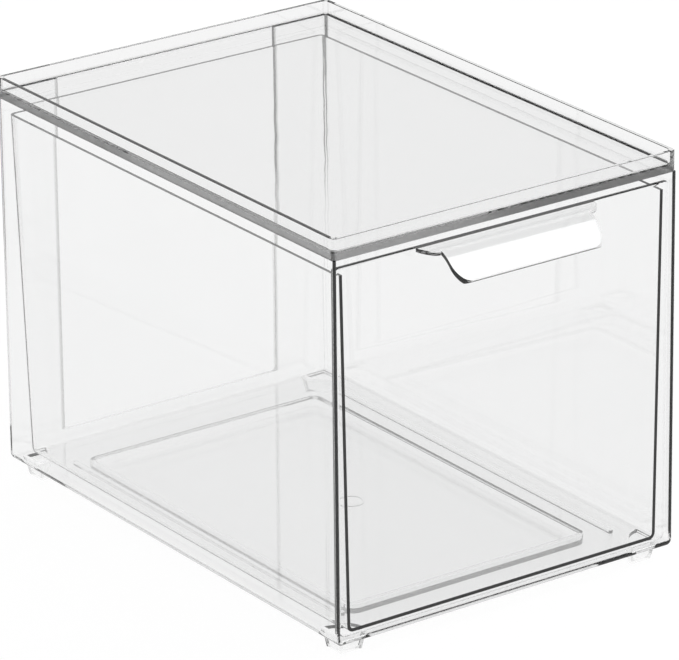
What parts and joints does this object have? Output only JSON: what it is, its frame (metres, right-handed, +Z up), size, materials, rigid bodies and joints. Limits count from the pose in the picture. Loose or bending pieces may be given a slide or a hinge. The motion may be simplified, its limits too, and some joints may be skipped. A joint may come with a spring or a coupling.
{
  "type": "stackable drawer box",
  "caption": "Clear stackable storage box: open-fronted casing with a stacking tray on top and a one-piece pull-out drawer with a curved pull lip.",
  "frame": {"origin": "under the middle of the whole object's bounding box, on the surface that the feet rest on", "axes": "+Z up, the drawer front and its pull lip face -Y, +X to the right of someone looking along +Y at the drawer front"},
  "size_m": [0.203, 0.311, 0.2156],
  "materials": {
    "casing_clear": "clear moulded polystyrene, polished",
    "tray_clear": "clear moulded polystyrene, polished",
    "drawer_clear": "clear moulded polystyrene, polished"
  },
  "bodies": {
    "casing": {"casing_body": "casing_clear", "top_tray": "tray_clear"},
    "drawer": {"drawer": "drawer_clear"}
  },
  "joints": [
    {"name": "drawer_slide", "type": "slide", "parent": "casing", "child": "drawer", "axis": [0, -1, 0], "range_m": [0, 0.22]}
  ]
}
